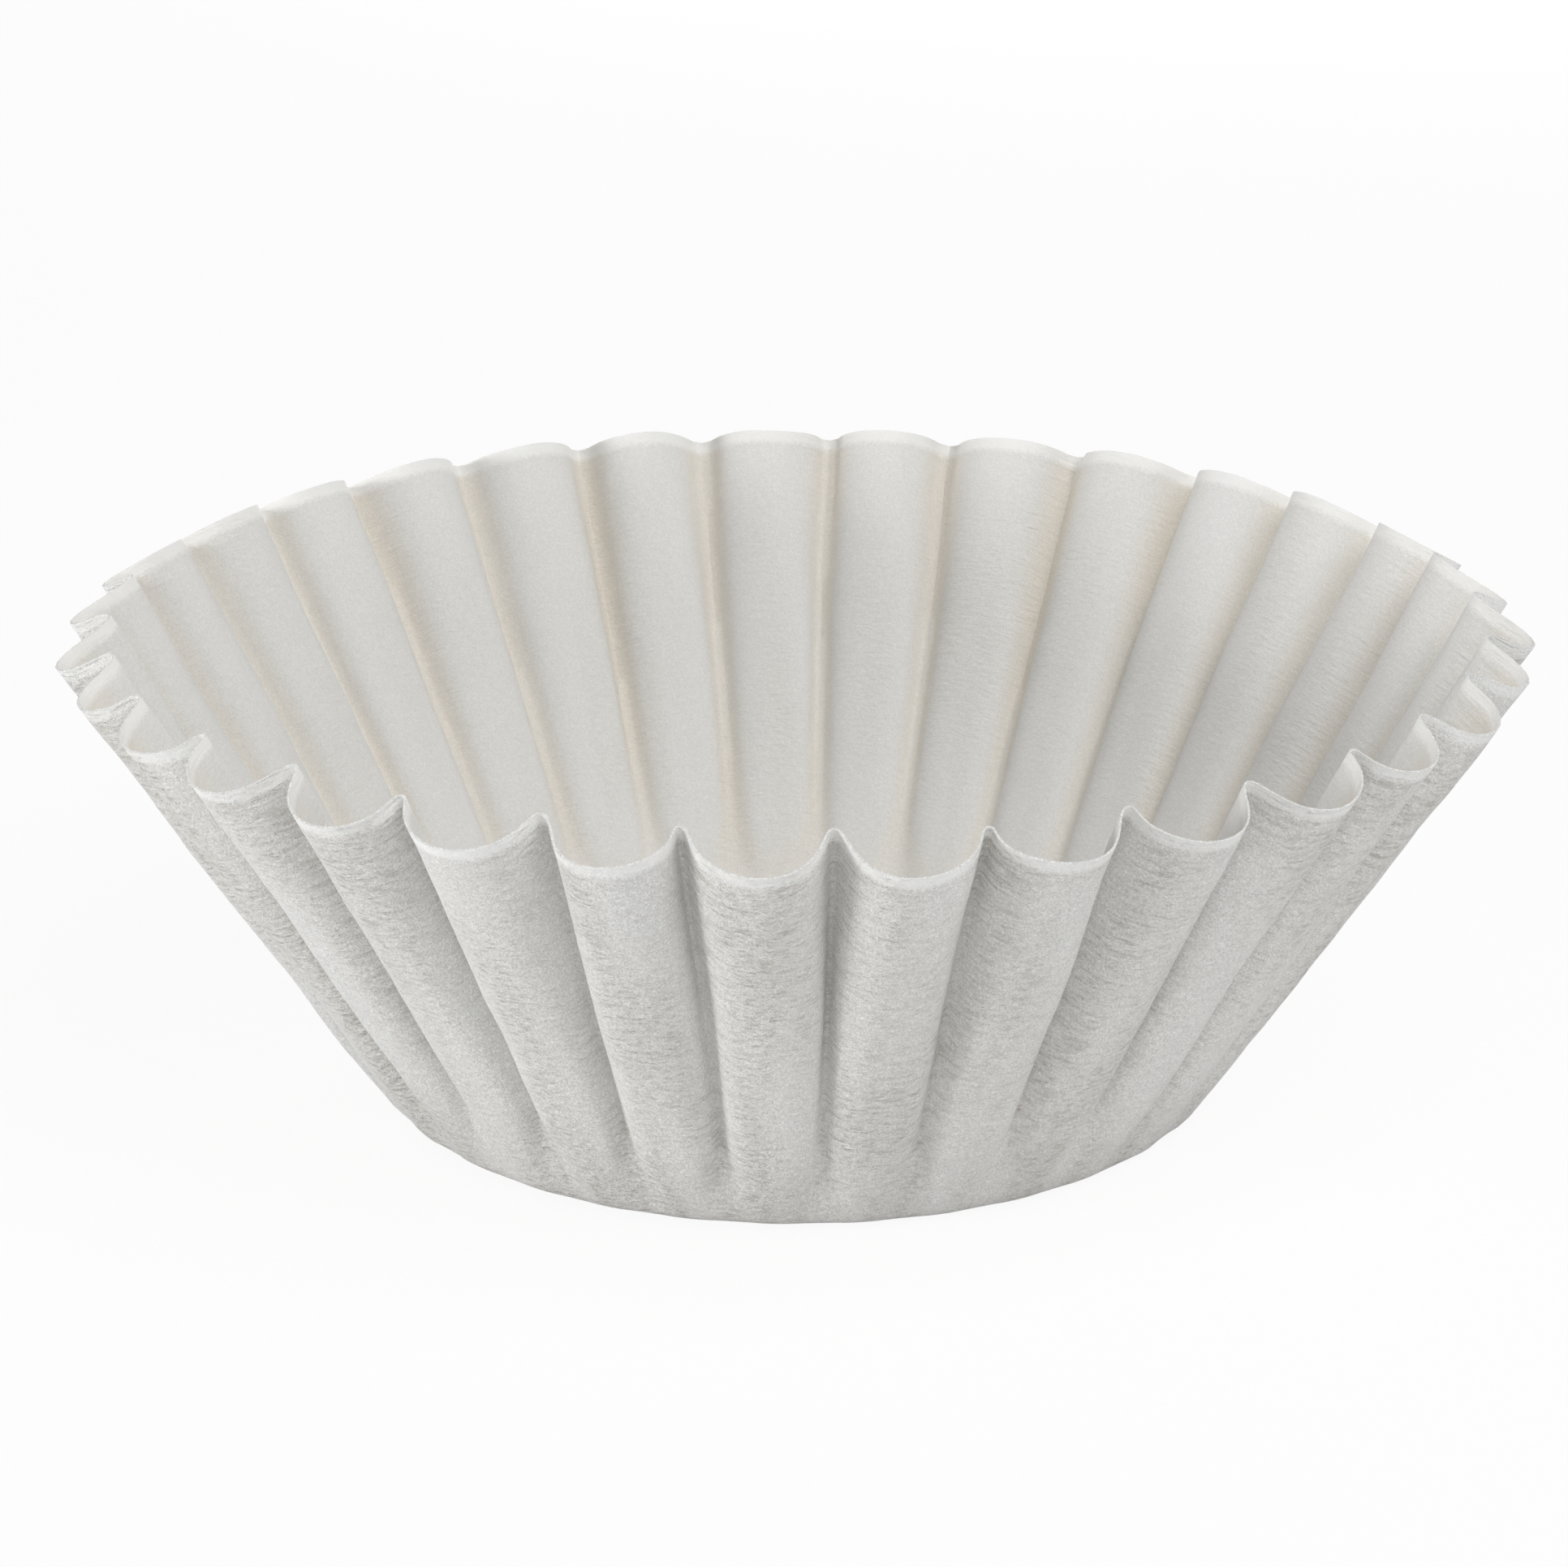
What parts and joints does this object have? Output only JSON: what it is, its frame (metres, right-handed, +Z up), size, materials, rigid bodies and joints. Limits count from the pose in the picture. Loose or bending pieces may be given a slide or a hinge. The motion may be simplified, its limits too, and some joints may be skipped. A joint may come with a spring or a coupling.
{
  "type": "coffee filter",
  "caption": "Basket coffee filter of white crepe paper: one round sheet pressed into a flat floor and a fluted wall that flares to a scalloped rim.",
  "frame": {"origin": "middle of the floor's underside, on the plane that the filter stands on", "axes": "+Z up through the open mouth; the flutes stand evenly round it, and -Y is the side seen in the picture"},
  "size_m": [0.1506, 0.1506, 0.0518],
  "materials": {
    "filter_paper": "matt white crepe paper"
  },
  "bodies": {
    "root": {"filter_sheet": "filter_paper"}
  },
  "joints": []
}
